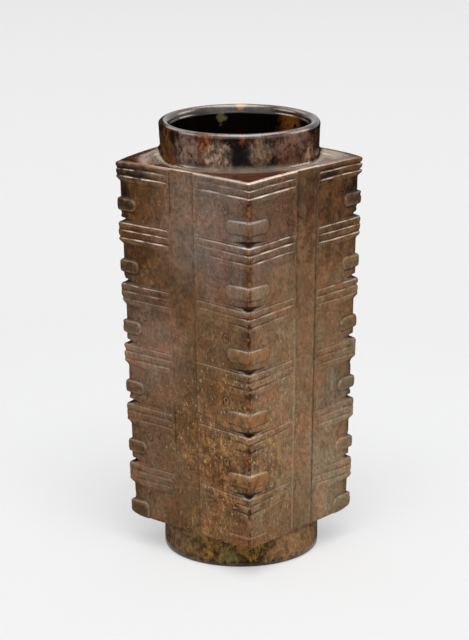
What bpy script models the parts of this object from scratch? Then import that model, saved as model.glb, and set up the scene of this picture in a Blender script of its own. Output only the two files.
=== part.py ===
"""A cong: a ritual tube carved and drilled from one block of brown stone.

The square column is wider at the top than at the base. Each of its corners carries a stack of
registers, and each register is a mask that folds round the corner: a headband of ridges, a sunken eye
field and a raised nose bar, with a notch below it. A plain channel runs down the middle of every face.
The collar, the foot and the bore are turned about the vertical axis. The bore was drilled from both
ends, so it narrows to a low ridge at half height.
"""

import math
from collections import namedtuple

import bmesh
import bpy

MM = 0.001

# Square column
SIDE_TOP = 74.0 * MM
SIDE_BASE = 68.0 * MM
CORNER_ROUND = 0.9 * MM
EDGE_EASE = 0.5 * MM
BASE_ROUND = 3.2 * MM

# Channel down the middle of each face
CHANNEL_WIDTH = 13.2 * MM
CHANNEL_DEPTH = 0.4 * MM
CHANNEL_WALL = 0.4 * MM
CHANNEL_MARGIN = 0.9 * MM

# Registers, from the top edge of one down to the notch below it
REGISTERS = 6
BAND_HEIGHT = 9.1 * MM
FIELD_HEIGHT = 7.1 * MM
NOSE_HEIGHT = 5.2 * MM
STEP_HEIGHT = 2.7 * MM
NOTCH_WIDTH = 2.4 * MM

# Headband: ridges parted by fine grooves, the lowest one falling inward at the corner
BAND_GROOVES = 2
GROOVE_WIDTH = 0.8 * MM
GROOVE_DEPTH = 0.45 * MM
BAND_FALL = 0.4 * MM

# Nose bar: flush with the headband, folded round the corner
NOSE_LENGTH = 12.8 * MM
NOSE_ROUND = 2.0 * MM
NOSE_WALL = 0.7 * MM

# Depth of each cut at the corner and where it runs out beside the channel
FIELD_DEPTH = 1.15 * MM
STEP_DEPTH = 0.85 * MM
NOTCH_DEPTH = 2.5 * MM
RUNOUT_DEPTH = 0.25 * MM
CUT_FADE = 2.2
NOTCH_FADE = 4.0
CUT_SLOPE = 0.5 * MM
CORNER_RELIEF = 5.0 * MM

# Collar
COLLAR_HEIGHT = 17.1 * MM
COLLAR_DIAMETER = 67.8 * MM
COLLAR_FLARE = 0.5 * MM
COLLAR_WALL = 4.2 * MM
COLLAR_FILLET = 2.4 * MM
RIM_ROUND = 1.4 * MM

# Foot
FOOT_HEIGHT = 13.6 * MM
FOOT_DIAMETER = 66.6 * MM
FOOT_WALL = 4.4 * MM
FOOT_ROUND = 1.0 * MM

# Bore
BORE_TAPER = 1.4 * MM
RIDGE_HEIGHT = 0.8 * MM
RIDGE_WIDTH = 3.0 * MM

# How the turned form is rooted in the column
ROOT_DEPTH = 1.2 * MM
ROOT_WALL = 2.4 * MM
FILLET_DIP = 0.2 * MM
TURN_STEPS = 64
ARC_STEPS = 3

REGISTER_HEIGHT = BAND_HEIGHT + FIELD_HEIGHT + NOSE_HEIGHT + STEP_HEIGHT
COLUMN_HEIGHT = REGISTERS * REGISTER_HEIGHT + (REGISTERS - 1) * NOTCH_WIDTH
COLUMN_TOP = FOOT_HEIGHT + COLUMN_HEIGHT
RIM_TOP = COLUMN_TOP + COLLAR_HEIGHT

Cut = namedtuple("Cut", "corner runout fade", defaults=(CUT_FADE,))
Row = namedtuple("Row", "height cut reach ease worn", defaults=(0.0, 0.0, 0.0))

RAISED = Cut(0.0, 0.0)
GROOVE = Cut(GROOVE_DEPTH, GROOVE_DEPTH)
FALL = Cut(BAND_FALL, 0.0)
FIELD = Cut(FIELD_DEPTH, RUNOUT_DEPTH)
STEP = Cut(STEP_DEPTH, RUNOUT_DEPTH)
NOTCH = Cut(NOTCH_DEPTH, RUNOUT_DEPTH, NOTCH_FADE)


def side_at(height):
    """Side of the square column at a height."""
    share = (height - FOOT_HEIGHT) / COLUMN_HEIGHT
    return SIDE_BASE + (SIDE_TOP - SIDE_BASE) * share


def cut_depth(cut, place, zone):
    """Depth of a cut at a place between the corner (0) and its run-out (zone)."""
    fade = (1.0 - place / zone) ** cut.fade
    return cut.runout + (cut.corner - cut.runout) * fade


def half_face(row):
    """Points from a corner to the channel, as distances along the face and inward from it."""
    border = (side_at(row.height) - CHANNEL_WIDTH) / 2.0
    zone = border - CHANNEL_MARGIN
    nose = row.reach or NOSE_LENGTH
    nose_cut = RAISED if row.reach else row.cut
    worn = Cut(row.worn, 0.0)
    at_corner = row.ease + nose_cut.corner + worn.corner
    corner = at_corner + CORNER_ROUND * (1.0 - math.sqrt(0.5))
    points = [(corner, corner)]
    flank = at_corner + CORNER_ROUND
    top = nose - NOSE_WALL
    for along, place in ((flank, CORNER_ROUND), (CORNER_RELIEF, CORNER_RELIEF), (top, top)):
        depth = cut_depth(nose_cut, place, zone) + cut_depth(worn, place, NOSE_LENGTH)
        points.append((along, row.ease + depth))
    for place in (nose, (NOSE_LENGTH + zone) / 2.0, zone):
        points.append((place, row.ease + cut_depth(row.cut, place, zone)))
    points.append((border, row.ease))
    points.append((border + CHANNEL_WALL, row.ease + CHANNEL_DEPTH))
    return points


def outline(row):
    """Closed outline of the column at one row, counter-clockwise from the corner at -X, -Y."""
    side = side_at(row.height)
    half = half_face(row)
    face = half + [(side - along, inward) for along, inward in reversed(half[1:])]
    ring = []
    for quarter in range(4):
        turn_cos = round(math.cos(quarter * math.pi / 2.0))
        turn_sin = round(math.sin(quarter * math.pi / 2.0))
        for along, inward in face:
            x = along - side / 2.0
            y = inward - side / 2.0
            ring.append((x * turn_cos - y * turn_sin, x * turn_sin + y * turn_cos, row.height))
    return ring


def register_rows(top, last):
    """Rows of one register, downward from the height of its top edge."""
    rows = [Row(top, RAISED)]
    ridge = (BAND_HEIGHT - BAND_GROOVES * GROOVE_WIDTH) / (BAND_GROOVES + 1)
    for groove in range(BAND_GROOVES):
        upper = top - ridge - groove * (ridge + GROOVE_WIDTH)
        rows.append(Row(upper, RAISED))
        rows.append(Row(upper - GROOVE_WIDTH / 2.0, GROOVE))
        rows.append(Row(upper - GROOVE_WIDTH, RAISED))
    band_foot = top - BAND_HEIGHT
    nose_top = band_foot - FIELD_HEIGHT
    nose_foot = nose_top - NOSE_HEIGHT
    step_foot = nose_foot - STEP_HEIGHT
    rows.append(Row(band_foot, FALL))
    rows.append(Row(band_foot - CUT_SLOPE, FIELD))
    rows.append(Row(nose_top + CUT_SLOPE, FIELD))
    rows.append(Row(nose_top, FIELD, NOSE_LENGTH - NOSE_ROUND))
    rows.append(Row(nose_top - NOSE_ROUND, FIELD, NOSE_LENGTH))
    if last:
        return rows + base_rows()
    rows.append(Row(nose_foot + NOSE_ROUND, FIELD, NOSE_LENGTH))
    rows.append(Row(nose_foot, FIELD, NOSE_LENGTH - NOSE_ROUND))
    rows.append(Row(nose_foot - CUT_SLOPE, STEP))
    rows.append(Row(step_foot, STEP))
    rows.append(Row(step_foot - NOTCH_WIDTH / 2.0, NOTCH))
    return rows


def base_rows():
    """Rows of the column's base, where the last nose bar runs out and its corner is rounded."""
    rows = []
    for step in range(ARC_STEPS + 1):
        angle = math.radians(90.0 * step / ARC_STEPS)
        height = FOOT_HEIGHT + BASE_ROUND * (1.0 - math.sin(angle))
        worn = BASE_ROUND * (1.0 - math.cos(angle)) * math.sqrt(0.5)
        ease = EDGE_EASE if step == ARC_STEPS else 0.0
        rows.append(Row(height, FIELD, NOSE_LENGTH, ease, worn))
    return rows


def column_rows():
    """Rows of the whole column, from its top edge down to its base."""
    rows = [Row(COLUMN_TOP, RAISED, 0.0, EDGE_EASE)]
    for register in range(REGISTERS):
        top = COLUMN_TOP - register * (REGISTER_HEIGHT + NOTCH_WIDTH)
        rows.extend(register_rows(top, register == REGISTERS - 1))
    rows[1] = rows[1]._replace(height=COLUMN_TOP - EDGE_EASE)
    return rows


def carve_column():
    """Mesh of the carved square column, without its bore."""
    bm = bmesh.new()
    rings = [[bm.verts.new(point) for point in outline(row)] for row in column_rows()]
    for upper, lower in zip(rings, rings[1:]):
        for index in range(len(upper)):
            ahead = (index + 1) % len(upper)
            bm.faces.new((lower[index], lower[ahead], upper[ahead], upper[index]))
    bm.faces.new(rings[0])
    bm.faces.new(list(reversed(rings[-1])))
    bmesh.ops.dissolve_limit(bm, angle_limit=math.radians(0.2), verts=bm.verts[:], edges=bm.edges[:])
    bmesh.ops.recalc_face_normals(bm, faces=bm.faces[:])
    mesh = bpy.data.meshes.new("carved_column")
    bm.to_mesh(mesh)
    bm.free()
    return mesh


def arc(radius, height, size, start, end):
    """Points on a quarter round about (radius, height), between two angles in degrees."""
    points = []
    for step in range(ARC_STEPS + 1):
        angle = math.radians(start + (end - start) * step / ARC_STEPS)
        points.append((radius + size * math.cos(angle), height + size * math.sin(angle)))
    return points


def turned_profile():
    """Closed half section of the collar, the foot and the bore, as radii and heights."""
    rim_outer = COLLAR_DIAMETER / 2.0
    rim_inner = rim_outer - COLLAR_WALL
    collar_base = rim_outer - COLLAR_FLARE
    foot_outer = FOOT_DIAMETER / 2.0
    foot_inner = foot_outer - FOOT_WALL
    waist = min(rim_inner, foot_inner) - BORE_TAPER
    root = max(rim_inner, foot_inner) + ROOT_WALL
    lip = min(RIM_ROUND, COLLAR_WALL * 0.45)
    sole = min(FOOT_ROUND, FOOT_WALL * 0.45)
    middle = RIM_TOP / 2.0
    fillet_base = COLUMN_TOP - FILLET_DIP
    profile = arc(rim_outer - lip, RIM_TOP - lip, lip, 90.0, 0.0)
    profile += arc(collar_base + COLLAR_FILLET, fillet_base + COLLAR_FILLET, COLLAR_FILLET, 180.0, 270.0)
    profile.append((root, fillet_base - ROOT_DEPTH))
    profile.append((root, FOOT_HEIGHT + 2.0 * ROOT_DEPTH))
    profile.append((foot_outer, FOOT_HEIGHT + ROOT_DEPTH))
    profile += arc(foot_outer - sole, sole, sole, 0.0, -90.0)
    profile += arc(foot_inner + sole, sole, sole, 270.0, 180.0)
    profile.append((waist, middle - RIDGE_WIDTH))
    profile.append((waist - RIDGE_HEIGHT, middle - RIDGE_WIDTH / 3.0))
    profile.append((waist - RIDGE_HEIGHT, middle + RIDGE_WIDTH / 3.0))
    profile.append((waist, middle + RIDGE_WIDTH))
    profile += arc(rim_inner + lip, RIM_TOP - lip, lip, 180.0, 90.0)
    return profile


def turn_form():
    """Mesh of the collar, the wall of the bore and the foot, turned about the vertical axis."""
    bm = bmesh.new()
    verts = [bm.verts.new((radius, 0.0, height)) for radius, height in turned_profile()]
    edges = [bm.edges.new((verts[index - 1], verts[index])) for index in range(len(verts))]
    bmesh.ops.spin(
        bm,
        geom=verts + edges,
        cent=(0.0, 0.0, 0.0),
        axis=(0.0, 0.0, 1.0),
        angle=2.0 * math.pi,
        steps=TURN_STEPS,
        use_merge=True,
    )
    bmesh.ops.recalc_face_normals(bm, faces=bm.faces[:])
    mesh = bpy.data.meshes.new("turned_form")
    bm.to_mesh(mesh)
    bm.free()
    return mesh


def drill_core():
    """Mesh of the core that leaves the column, ending inside the wall of the turned form."""
    bore = max(COLLAR_DIAMETER / 2.0 - COLLAR_WALL, FOOT_DIAMETER / 2.0 - FOOT_WALL)
    bm = bmesh.new()
    bmesh.ops.create_cone(
        bm,
        cap_ends=True,
        segments=TURN_STEPS,
        radius1=bore + ROOT_WALL / 2.0,
        radius2=bore + ROOT_WALL / 2.0,
        depth=2.0 * RIM_TOP,
    )
    mesh = bpy.data.meshes.new("drilled_core")
    bm.to_mesh(mesh)
    bm.free()
    return mesh


def brown_stone():
    """Polished brown stone."""
    material = bpy.data.materials.new("brown_stone")
    material.use_nodes = True
    shader = material.node_tree.nodes["Principled BSDF"]
    shader.inputs["Base Color"].default_value = (0.135, 0.085, 0.055, 1.0)
    shader.inputs["Roughness"].default_value = 0.32
    shader.inputs["Metallic"].default_value = 0.0
    return material


def add_helper(mesh):
    """An object that only shapes another one."""
    helper = bpy.data.objects.new(mesh.name, mesh)
    helper.hide_render = True
    helper.display_type = "WIRE"
    bpy.context.collection.objects.link(helper)
    return helper


def join(target, helper, operation):
    """Combine a helper with the target."""
    step = target.modifiers.new(helper.name, "BOOLEAN")
    step.operation = operation
    step.solver = "EXACT"
    step.object = helper


for item in list(bpy.data.objects):
    bpy.data.objects.remove(item, do_unlink=True)

stone = brown_stone()
meshes = [carve_column(), turn_form(), drill_core()]
for shape in meshes:
    shape.materials.append(stone)
    shape.shade_smooth()
    shape.set_sharp_from_angle(angle=math.radians(20.0))

cong = bpy.data.objects.new("cong_tube", meshes[0])
bpy.context.collection.objects.link(cong)
join(cong, add_helper(meshes[2]), "DIFFERENCE")
join(cong, add_helper(meshes[1]), "UNION")
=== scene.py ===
"""Looks of the cong: a worn, polished brown stone tube on a pale floor."""

import math

import bpy
import numpy as np
from mathutils import Matrix, Vector, noise


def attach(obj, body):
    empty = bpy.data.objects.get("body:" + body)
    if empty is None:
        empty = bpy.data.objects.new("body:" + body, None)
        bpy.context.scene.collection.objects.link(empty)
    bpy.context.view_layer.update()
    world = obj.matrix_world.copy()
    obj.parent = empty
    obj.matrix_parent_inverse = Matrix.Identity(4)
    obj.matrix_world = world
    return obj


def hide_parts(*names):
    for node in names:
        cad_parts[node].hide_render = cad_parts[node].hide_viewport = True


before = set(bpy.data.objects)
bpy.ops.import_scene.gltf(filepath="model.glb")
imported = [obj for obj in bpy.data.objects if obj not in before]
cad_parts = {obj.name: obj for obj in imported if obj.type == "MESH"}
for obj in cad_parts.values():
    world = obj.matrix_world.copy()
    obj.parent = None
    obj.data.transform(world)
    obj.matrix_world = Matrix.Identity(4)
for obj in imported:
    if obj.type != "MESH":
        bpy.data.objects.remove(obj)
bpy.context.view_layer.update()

MM = 0.001

# Sizes of the solid, in millimetres
SIDE_TOP, SIDE_BASE = 74.0, 68.0
CHANNEL_WIDTH, CHANNEL_DEPTH = 13.2, 0.42
REGISTERS, REGISTER, NOTCH = 6, 24.1, 2.4
PITCH = REGISTER + NOTCH
FOOT_HEIGHT = 13.6
COLUMN_TOP = FOOT_HEIGHT + REGISTERS * PITCH - NOTCH
RIM_TOP = COLUMN_TOP + 17.1
COLLAR_RADIUS, COLLAR_FLARE, COLLAR_WALL, COLLAR_FILLET = 33.9, 0.5, 4.2, 2.0
FOOT_RADIUS, FOOT_WALL = 33.3, 4.4
NOSE_TOP, NOSE_FOOT, NOSE_LENGTH = 16.2, 21.4, 12.8
NOSE_ROUND, BASE_ROUND = 2.45, 3.2
GROOVES = (2.9, 6.2)
CORNER_ROUND, RELIEF = 1.0, 5.0

# Rounding, wear and unevenness; front and left are as the camera sees them
FRONT, LEFT = np.array([0.656, -0.755]), np.array([-0.755, -0.656])
RIM_DIP, SHOULDER_DIP, SHOULDER_RISE, LEFT_RISE = 1.8, 0.75, 2.9, 1.4
RIM_OUTER, RIM_INNER = 1.9, 2.2
COLLAR_ROUGH, RIM_ROUGH, BORE_ROUGH = 0.22, 0.16, 0.06

# Carving of a register: depths, what the corner adds to them, distances from the corner, and drops below
# the register's top edge
FADE = 2.6
FIELD_DEPTH, FIELD_CORNER, FIELD_DROPS = 0.3, 0.93, (7.2, 9.5)
STEP_DEPTH, STEP_CORNER, STEP_DROPS = 0.32, 0.7, (17.5, 20.5)
MOAT_DEPTH, MOAT_PLACE, MOAT_WIDTH = 0.2, 0.45, 0.4
NOTCH_DEPTH, NOTCH_CORNER, NOTCH_REACH, NOTCH_DROP, NOTCH_HALF = 0.3, 2.2, 4.6, 25.3, 1.3
GROOVE_DEPTH, GROOVE_CORNER, GROOVE_REACH, GROOVE_FLANK = 0.52, 0.12, 6.0, 0.7
RIDGE_LAP, LAP_CURVE = 1.5, 1.8
LEDGE_DROP, LINE_BLUR, NO_LINE = 0.55, 0.3, 3.0
EYE_PLACE, EYE_DROP = 13.0, 12.9
BELOW_BASE = 40.0

# The carver's hand: corners in the order left, front, right and back, registers from the top
rng = np.random.default_rng(11)
HAND = {
    "field": rng.uniform(0.9, 1.12, (4, REGISTERS)),
    "notch": rng.uniform(0.9, 1.1, (4, REGISTERS)),
    "groove": rng.uniform(0.7, 1.25, (4, REGISTERS, 2)),
    "flank": rng.uniform(0.75, 1.2, (4, REGISTERS, 2)),
    "wave": rng.uniform(0.0, 2.0 * math.pi, (4, REGISTERS, 2)),
}
HAND["field"][1] = (0.65, 0.6, 0.6, 0.7, 0.7, 0.4)
HAND["groove"][0, 0] = (1.7, 1.3)
HAND["flank"][0, 0] = (1.9, 1.2)
HAND["groove"][1, 0] = (0.7, 1.4)
HAND["groove"][2, 0] = (1.5, 1.4)
RIDGE_ENDS = (0.75, 0.6, 0.5, 0.4, 0.3, 0.25)
RIDGE_DEPTH = (1.0, 0.95, 0.85, 0.75, 0.68, 0.62)
BASE_WEAR = (1.0, 0.25, 1.0, 1.0)
NOSES = (10.6, NOSE_LENGTH, 11.4, NOSE_LENGTH)
NOSE_SOFT = (1.2, 1.9, 1.2, 1.2)
FAINT_LEFT, FAINT_RIGHT = (0.45, 0.5, 0.55, 0.6, 0.6, 0.6), (0.0, 0.0, 0.1, 0.3, 0.4, 0.4)

# How far the carver's lines hang down at the corners, by distance below the column's top
SAG_AT = (0.0, 8.0, 17.0, 26.5, 44.0, 53.0, 71.0, 79.5, 97.0, 106.0, 123.0, 132.5, 141.0, 148.7, 156.6)
SAG = (
    (0.0, 0.0, 0.0, 0.0, 0.0, 0.0, 0.0, 0.0, 0.0, 0.0, 0.0, 0.1, 0.5, 0.9, 0.0),
    (0.2, 1.0, 1.2, 1.1, 1.9, 1.3, 2.0, 1.4, 2.3, 2.0, 2.6, 2.4, 2.7, 3.2, 0.0),
    (0.0, -0.4, -0.9, -0.2, 0.0, 0.0, 0.0, 0.0, 0.5, 0.3, 1.2, 0.8, 1.5, 0.9, 0.0),
    (0.0, 0.3, 0.0, 0.4, 0.8, 0.3, 0.1, 0.5, 0.9, 0.6, 0.8, 0.4, 0.8, 0.5, 0.0),
)


def smooth(low, high, value):
    x = np.clip((np.asarray(value, float) - low) / (high - low), 0.0, 1.0)
    return x * x * (3.0 - 2.0 * x)


def wander(points, size, seed):
    """Smooth noise from -1 to 1 at points in millimetres, with features of a given size."""
    shift = Vector((seed * 17.3, seed * 5.1, seed * 9.7))
    return np.array([noise.noise(Vector(point) / size + shift) for point in points])


def side_at(height):
    return SIDE_BASE + (SIDE_TOP - SIDE_BASE) * (height - FOOT_HEIGHT) / (COLUMN_TOP - FOOT_HEIGHT)


# Columns of one half face, from the corner's ridge to the middle of the channel
ARC = np.array([0.0, 0.4, 0.75])
NEAR = np.array([
    1.1, 1.7, 2.4, 3.2, 4.1, 5.1, 6.2, 7.4, 8.6, 9.8, 10.7, 11.4, 11.9, 12.3, 12.65, 13.0, 13.5, 14.3, 15.5,
])
SPREAD = np.array([0.2, 0.4, 0.6, 0.8])
EDGE = np.array([-1.5, -0.9, -0.45, 0.0, 0.22, 0.5])
INNER = np.array([0.35, 0.7, 1.0])


def places(half, corner):
    """Distances of the columns from the corner, past its rounding."""
    border = half - CHANNEL_WIDTH / 2.0
    near = NEAR[0] + (NEAR - NEAR[0]) * (NOSES[corner] - NEAR[0]) / (NOSE_LENGTH - NEAR[0])
    spread = near[-1] + (border - 1.5 - near[-1]) * SPREAD
    inner = border + 0.5 + (half - border - 0.5) * INNER
    return np.concatenate([near, spread, border + EDGE, inner])


def relief(place, drop, border, corner, register, faint):
    """Carving at places along a half face, at a drop below the register's top edge.

    Gives the depth, the nose bar, the distance outside its outline, and the distances to the nearest dark line and
    the nearest pale edge, where the material paints a highlight.
    """
    zone = border - 0.9
    last = register == REGISTERS - 1
    inside = smooth(border - 0.05, zone - 0.2, place)
    share = np.clip(1.0 - place / zone, 0.0, 1.0)
    fade = share ** FADE
    field = (FIELD_DEPTH + FIELD_CORNER * fade) * HAND["field"][corner, register]
    step = (STEP_DEPTH + STEP_CORNER * fade) * HAND["field"][corner, register]
    fall = FIELD_DROPS[0] + 1.4 * smooth(0.0, 9.0, place)
    sunk = smooth(fall, FIELD_DROPS[1], drop)
    blend = smooth(*STEP_DROPS, drop)
    base = (field * (1.0 - blend) + step * blend) * sunk
    run = place - (NOSES[corner] - NOSE_ROUND)
    rise = max(NOSE_TOP - drop, drop - (BELOW_BASE if last else NOSE_FOOT)) + NOSE_ROUND
    outside = np.hypot(np.maximum(run, 0.0), max(rise, 0.0)) + np.minimum(np.maximum(run, rise), 0.0) - NOSE_ROUND
    nose = smooth(0.35 * NOSE_SOFT[corner], -0.2 * NOSE_SOFT[corner], outside)
    moat = MOAT_DEPTH * np.exp(-((outside - MOAT_PLACE) / MOAT_WIDTH) ** 2) * smooth(2.0, 5.0, place)
    base = (base + moat * sunk) * (1.0 - nose) + 0.16 * nose * smooth(-1.4, 0.0, outside)
    lip = smooth(26.45, 25.95, drop)
    notch = HAND["notch"][corner, register]
    cut = (NOTCH_DEPTH + NOTCH_CORNER * np.exp(-(place / NOTCH_REACH) ** 1.2)) * notch
    vee = np.clip(1.0 - abs(drop - NOTCH_DROP) / NOTCH_HALF, 0.0, 1.0) ** 0.85
    depth = np.maximum(base * lip, 0.0 if last else cut * vee)
    reach = smooth(zone, zone - 1.0, place)
    wedge = 0.35 + abs(drop - 25.4) - 1.45 * np.clip(1.0 - place / 10.0, 0.0, 1.0) * notch
    blunt = LINE_BLUR * (1.0 - 0.9 * reach)
    dark = np.minimum(wedge, abs(drop - 26.3) + blunt) + (NO_LINE if last else 0.0)
    pale = abs(drop - 0.3) + blunt + (NO_LINE if register == 0 else 0.0)
    plain = 1.0 - faint * smooth(2.0, 9.0, place)
    for index, groove in enumerate(GROOVES):
        hand = HAND["groove"][corner, register, index]
        end = RIDGE_ENDS[register]
        size = (GROOVE_DEPTH + GROOVE_CORNER * np.exp(-place / GROOVE_REACH)) * hand
        size = size * (end + (1.0 - end) * smooth(0.0, 3.0, place)) * reach
        uneven = 0.85 + 0.35 * np.sin(0.5 * place + HAND["wave"][corner, register, index])
        size = size * RIDGE_DEPTH[register] * plain * uneven
        flank = GROOVE_FLANK * HAND["flank"][corner, register, index]
        lap = max((drop - groove + RIDGE_LAP) / RIDGE_LAP, 0.0) ** LAP_CURVE
        depth = depth + size * max(min(lap, (groove + flank - drop) / flank, 1.0), 0.0)
        blunt = LINE_BLUR * (1.0 - reach * min(hand, 1.0) * plain * np.minimum(uneven, 1.0))
        dark = np.minimum(dark, abs(drop - groove) + blunt)
        pale = np.minimum(pale, abs(drop - groove - LEDGE_DROP) + blunt)
    depth = depth + 0.34 * max(1.0 - drop / 0.6, 0.0)
    lift = REGISTER - drop
    if last and lift < BASE_ROUND:
        worn = (BASE_ROUND - math.sqrt(BASE_ROUND ** 2 - (BASE_ROUND - max(lift, 0.0)) ** 2)) * math.sqrt(0.5)
        depth = depth + worn * BASE_WEAR[corner] * np.clip(1.0 - place / NOSES[corner], 0.0, 1.0) ** 2.2
    return depth * inside, nose * smooth(-0.2, -0.9, outside), np.clip(outside, -2.0, 2.0), dark, pale


def corner_line(height, ease, corner, faint=(0.0,) * REGISTERS):
    """Points of a half face at a corner: along the face and inward from it, with depth and place."""
    half = side_at(height) / 2.0
    border = half - CHANNEL_WIDTH / 2.0
    register = min(int((COLUMN_TOP - height) / PITCH + 1e-6), REGISTERS - 1)
    drop = COLUMN_TOP - height - register * PITCH
    flat = places(half, corner)
    place = np.where(flat < RELIEF, (flat - CORNER_ROUND) * RELIEF / (RELIEF - CORNER_ROUND), flat)
    depth, *marks = relief(np.concatenate([[0.0], place]), drop, border, corner, register, faint[register])
    chip = noise.noise(Vector((corner * 9.1, 3.3, height / 2.4)))
    wear = (0.3 * float(smooth(0.2, 0.6, chip)) + 0.04) * float(smooth(0.5, 4.0, height - FOOT_HEIGHT))
    depth = depth + wear * np.exp(-np.concatenate([[0.0], place]) / 1.3)
    tip = depth[0] + ease
    turn = np.radians(225.0 + 45.0 * ARC)
    arc_along = tip + CORNER_ROUND + CORNER_ROUND * np.cos(turn)
    arc_inward = tip + CORNER_ROUND + CORNER_ROUND * np.sin(turn)
    channel = CHANNEL_DEPTH * smooth(border, border + 0.5, flat)
    shift = tip * np.clip(1.0 - (flat - CORNER_ROUND) / (RELIEF - CORNER_ROUND), 0.0, 1.0)
    along = np.concatenate([arc_along, flat + shift])
    inward = np.concatenate([arc_inward, depth[1:] + channel + ease])
    cut = np.concatenate([np.full(len(ARC), depth[0]), depth[1:] + channel])
    spot = np.concatenate([np.zeros(len(ARC)), flat])
    marks = [np.concatenate([np.full(len(ARC), mark[0]), mark[1:]]) for mark in marks]
    return along, inward, cut, spot, np.stack([*marks, spot - border], 1), drop


def around(left, right):
    """One face from two half faces: the left one, then the right one back to its corner."""
    return np.concatenate([left, right[-2:0:-1]])


def column_ring(height, ease=0.0):
    """Ring of the carved column: points, depth of cut, distance from the corner, marks and place of the eye."""
    side = side_at(height)
    lines = [corner_line(height, ease, corner) for corner in (0, 2, 3)]
    lines.insert(1, corner_line(height, ease, 1, FAINT_RIGHT))
    ends = [corner_line(height, ease, 1, FAINT_LEFT), lines[2], lines[3], lines[0]]
    level_share = smooth(10.0, 15.0, lines[0][5]) * smooth(26.0, 23.0, lines[0][5])
    hang = []
    for sag, line in zip(SAG, lines):
        slope = np.clip(1.0 - line[3] / 35.0, 0.0, 1.0)
        slope = slope + (smooth(34.0, 10.0, line[3]) - slope) * level_share
        hang.append(np.interp(COLUMN_TOP - height, SAG_AT, sag) * slope)
    points, cuts, spots, marks = [], [], [], []
    for face in range(4):
        left, right = lines[face], ends[face]
        x = around(left[0], side - right[0]) - side / 2.0
        y = around(left[1], right[1]) - side / 2.0
        c, s = ((1, 0), (0, 1), (-1, 0), (0, -1))[face]
        points.append(np.stack([x * c - y * s, x * s + y * c, height - around(hang[face], hang[(face + 1) % 4])], 1))
        cuts.append(around(left[2], right[2]))
        spots.append(around(left[3], right[3]))
        marks.append(around(left[4], right[4]))
    points, cuts, spots = np.concatenate(points), np.concatenate(cuts), np.concatenate(spots)
    swell = 0.1 * (0.5 + 0.5 * wander(points, 16.0, 1)) + 0.03 * (0.5 + 0.5 * wander(points, 4.0, 2))
    points[:, :2] *= 1.0 - (swell / np.hypot(points[:, 0], points[:, 1]))[:, None]
    calm = smooth(0.0, 4.0, height - FOOT_HEIGHT) * smooth(0.0, 4.0, COLUMN_TOP - height)
    points[:, 2] += 0.26 * wander(points, 11.0, 3) * calm
    worn_down = SHOULDER_DIP * (0.25 + 0.75 * np.exp(-spots / 12.0))
    points[:, 2] -= worn_down * smooth(COLUMN_TOP - 7.0, COLUMN_TOP, height)
    eye = np.stack([spots - EYE_PLACE, np.full(len(spots), abs(lines[0][5] - EYE_DROP)), np.zeros(len(spots))], 1)
    return points, cuts, spots, np.concatenate(marks), eye


# Drops of the rings in a register, close together where the carving turns
DROPS = (
    0.0, 0.3, 0.8, 1.7, 2.35, 2.6, 2.9, 3.2, 3.45, 4.0, 5.2, 5.65, 5.9, 6.2, 6.5, 6.75, 7.3, 7.9, 8.5, 9.0, 9.5, 10.5,
    12.2, 14.0, 15.4, 15.85, 16.15, 16.5, 17.0, 17.8, 18.8, 19.8, 20.6, 21.1, 21.45, 21.75, 22.4, 23.2, 23.9, 24.4,
    24.85, 25.3, 25.75, 26.05, 26.3,
)

column = []
for register in reversed(range(REGISTERS)):
    for drop in reversed(DROPS):
        height = COLUMN_TOP - register * PITCH - drop
        if FOOT_HEIGHT + 1.0 < height < COLUMN_TOP - 1.0:
            column.append((height, 0.0))
# Heights of the rounded edges, and how far they draw in
base_edge = [(FOOT_HEIGHT, 0.45), (FOOT_HEIGHT + 0.08, 0.24), (FOOT_HEIGHT + 0.25, 0.08), (FOOT_HEIGHT + 0.6, 0.01)]
top_edge = [(COLUMN_TOP - 0.9, 0.02), (COLUMN_TOP - 0.4, 0.14), (COLUMN_TOP - 0.12, 0.36), (COLUMN_TOP, 0.75)]
rings = [column_ring(height, ease) for height, ease in base_edge + column + top_edge]
column_count = len(rings)
level = column_ring(COLUMN_TOP - 20.0)[0]
ANGLES = np.arctan2(level[:, 1], level[:, 0])
CIRCLE = np.stack([np.cos(ANGLES), np.sin(ANGLES)], 1)


def no_marks():
    """What a ring without carving has beside its points, far from every mark."""
    far = np.full(len(CIRCLE), 40.0)
    return far * 0.0, far, np.stack([far * 0.0, far, far, far, far], 1), np.stack([far, far, far], 1)


def turned_ring(radius, height, rough=0.08, lift=0.0):
    """Ring of the turned form, slightly out of round."""
    points = np.column_stack([CIRCLE * radius, np.full(len(CIRCLE), height)])
    swell = rough * wander(points, 13.0, 5) + 0.3 * rough * wander(points, 4.0, 6)
    points[:, :2] *= 1.0 + (swell - rough)[:, None] / radius
    points[:, 2] -= RIM_DIP * (0.5 + 0.5 * CIRCLE @ FRONT) * smooth(COLUMN_TOP + 2.0, RIM_TOP, height)
    points[:, 2] -= 0.22 * (0.5 + 0.5 * wander(points, 11.0, 7)) * smooth(RIM_TOP - 6.0, RIM_TOP, height)
    points[:, 2] += lift
    return points, *no_marks()


def arc(radius, height, size, start, end, steps):
    turn = np.radians(np.linspace(start, end, steps))
    return [(radius + size * math.cos(a), height + size * math.sin(a)) for a in turn]


def between(first, second, shares):
    """Rings that pass from one ring to another."""
    passing = []
    for share in shares:
        points = first[0] * (1.0 - share) + second[0] * share
        points[:, 2] = first[0][:, 2] + (second[0][:, 2] - first[0][:, 2]) * share ** 0.8
        passing.append((points, *no_marks()))
    return passing


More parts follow.
